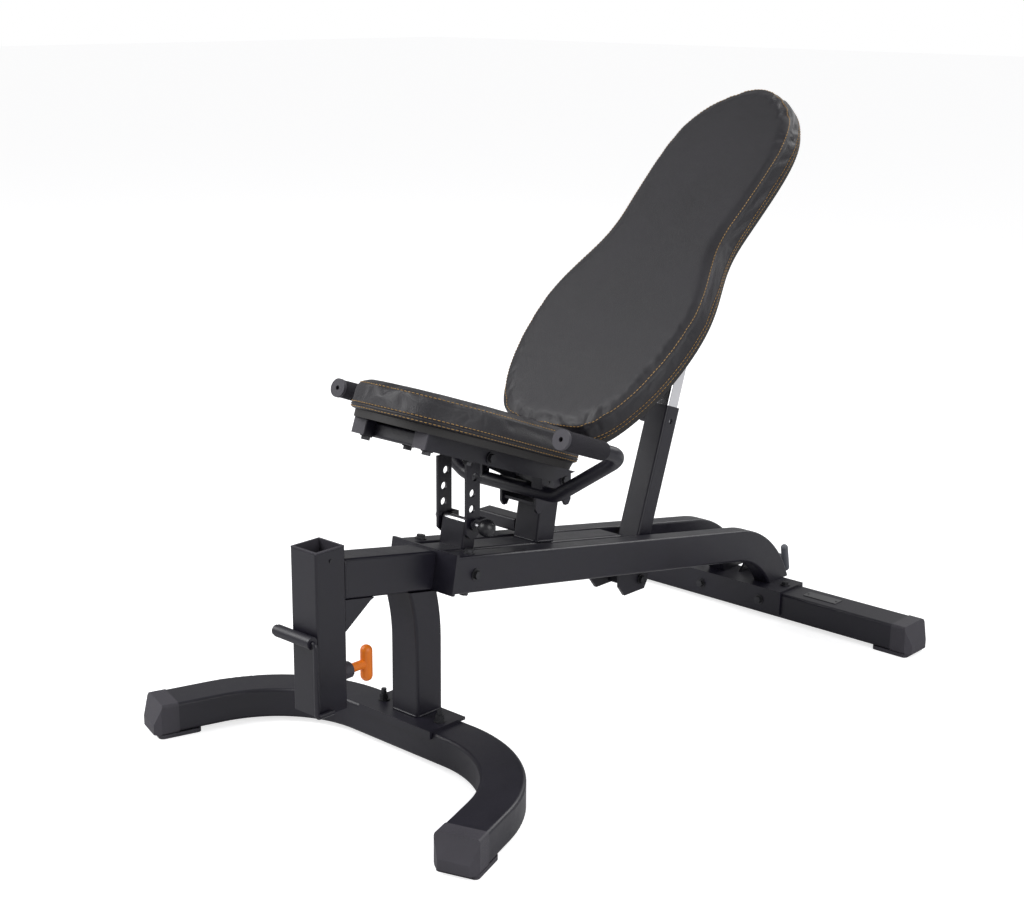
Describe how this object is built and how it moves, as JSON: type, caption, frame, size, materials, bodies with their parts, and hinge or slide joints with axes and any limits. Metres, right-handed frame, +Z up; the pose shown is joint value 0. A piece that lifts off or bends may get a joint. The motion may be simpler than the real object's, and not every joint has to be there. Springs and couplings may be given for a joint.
{
  "type": "adjustable weight bench",
  "caption": "Adjustable incline weight bench with a tilting seat, hourglass back pad on a telescoping strut, a square front receiver and side hand grips.",
  "frame": {"origin": "on the floor, in the middle of the bench's footprint", "axes": "+X towards the seat lock knob's side, +Y towards the head end, +Z up"},
  "size_m": [0.826, 1.3124, 1.0517],
  "materials": {
    "frame_paint": "satin black powder coat",
    "black_plastic": "moulded black plastic",
    "bolt_steel": "black oxide",
    "bright_steel": "zinc plated",
    "knob_plastic": "gloss black",
    "chrome": "chrome plated",
    "foam_grip": "matte foam",
    "pad_cover": "black vinyl with gold stitching",
    "board": "black painted board",
    "orange_plastic": "orange moulded",
    "grey_plastic": "grey moulded",
    "plate_metal": "dark anodised, blank"
  },
  "bodies": {
    "frame": {"front_foot": "frame_paint", "front_foot_caps": "black_plastic", "front_foot_plate": "frame_paint", "front_post": "frame_paint", "front_beam": "frame_paint", "receiver_tube": "frame_paint", "receiver_liner": "black_plastic", "liner_screw": "bolt_steel", "gussets": "frame_paint", "junction_plate": "frame_paint", "spine_tube": "frame_paint", "side_beam_left": "frame_paint", "side_beam_right": "frame_paint", "frame_bolts": "bolt_steel", "seat_adjust_post": "frame_paint", "seat_pin_sleeve": "bright_steel", "seat_pin_holder": "frame_paint", "seat_pin_stud": "bright_steel", "seat_post": "frame_paint", "pivot_bracket": "frame_paint", "hinge_bolts": "bolt_steel", "side_stub": "frame_paint", "strut_bracket": "frame_paint", "rear_foot": "frame_paint", "rear_foot_caps": "black_plastic", "rear_saddle": "frame_paint", "blank_plate": "plate_metal", "rear_pin_bracket": "frame_paint", "receiver_pin_barrel": "black_plastic", "bail_sleeve": "frame_paint"},
    "seat": {"seat_rails": "frame_paint", "rail_caps": "black_plastic", "seat_crossmembers": "frame_paint", "seat_lugs": "frame_paint", "seat_bars": "frame_paint", "seat_handle": "frame_paint", "seat_grips": "foam_grip", "grip_caps": "black_plastic", "seat_board": "board", "seat_pad": "pad_cover", "seat_bolts": "bolt_steel"},
    "seat_lock": {"seat_pin": "bright_steel", "seat_pin_knob": "knob_plastic"},
    "back": {"back_tube": "frame_paint", "back_hinge_lugs": "frame_paint", "back_board": "board", "back_pad": "pad_cover", "back_brackets": "frame_paint", "back_bolts": "bolt_steel"},
    "strut_tube": {"strut_outer": "frame_paint", "strut_pin_barrel": "black_plastic"},
    "strut_rod": {"strut_inner": "chrome"},
    "strut_lock": {"strut_pin": "bright_steel", "strut_pin_knob": "knob_plastic"},
    "receiver_lock": {"receiver_pin": "bright_steel", "receiver_pin_handle": "orange_plastic"},
    "bail": {"bail": "frame_paint"},
    "rear_lock": {"rear_pin": "bright_steel", "rear_pin_handle": "grey_plastic"}
  },
  "joints": [
    {"name": "seat_tilt", "type": "hinge", "parent": "frame", "child": "seat", "pos_m": [0, -0.08584, 0.404], "axis": [1, 0, 0], "range_deg": [0, 25.36]},
    {"name": "back_tilt", "type": "hinge", "parent": "frame", "child": "back", "pos_m": [0, -0.04584, 0.404], "axis": [1, 0, 0], "range_deg": [-40.98, 6.83]},
    {"name": "strut_swing", "type": "hinge", "parent": "frame", "child": "strut_tube", "pos_m": [0, 0.18616, 0.161], "axis": [1, 0, 0], "range_deg": [-35.5, 6.75]},
    {"name": "strut_extend", "type": "slide", "parent": "strut_tube", "child": "strut_rod", "axis": [0, 0.3223, 0.9466], "range_m": [-0.2324, 0.0404]},
    {"name": "seat_lock_slide", "type": "slide", "parent": "frame", "child": "seat_lock", "axis": [1, 0, 0], "range_m": [-0.009, 0]},
    {"name": "strut_lock_slide", "type": "slide", "parent": "strut_tube", "child": "strut_lock", "axis": [-1, 0, 0], "range_m": [-0.01, 0]},
    {"name": "receiver_lock_slide", "type": "slide", "parent": "frame", "child": "receiver_lock", "axis": [0, 1, 0], "range_m": [0, 0.012], "stiffness_N_per_m": 400, "springref_m": -0.01},
    {"name": "rear_lock_slide", "type": "slide", "parent": "frame", "child": "rear_lock", "axis": [1, 0, 0], "range_m": [0, 0.012], "stiffness_N_per_m": 400, "springref_m": -0.01},
    {"name": "bail_swing", "type": "hinge", "parent": "frame", "child": "bail", "pos_m": [0, -0.61584, 0.259], "axis": [1, 0, 0], "range_deg": [-95, 0]}
  ],
  "couplings": [
    {"joint": "strut_swing", "follows": "back_tilt", "ratio": 0.8419},
    {"joint": "strut_extend", "follows": "back_tilt", "m_per_rad": 0.3221}
  ]
}
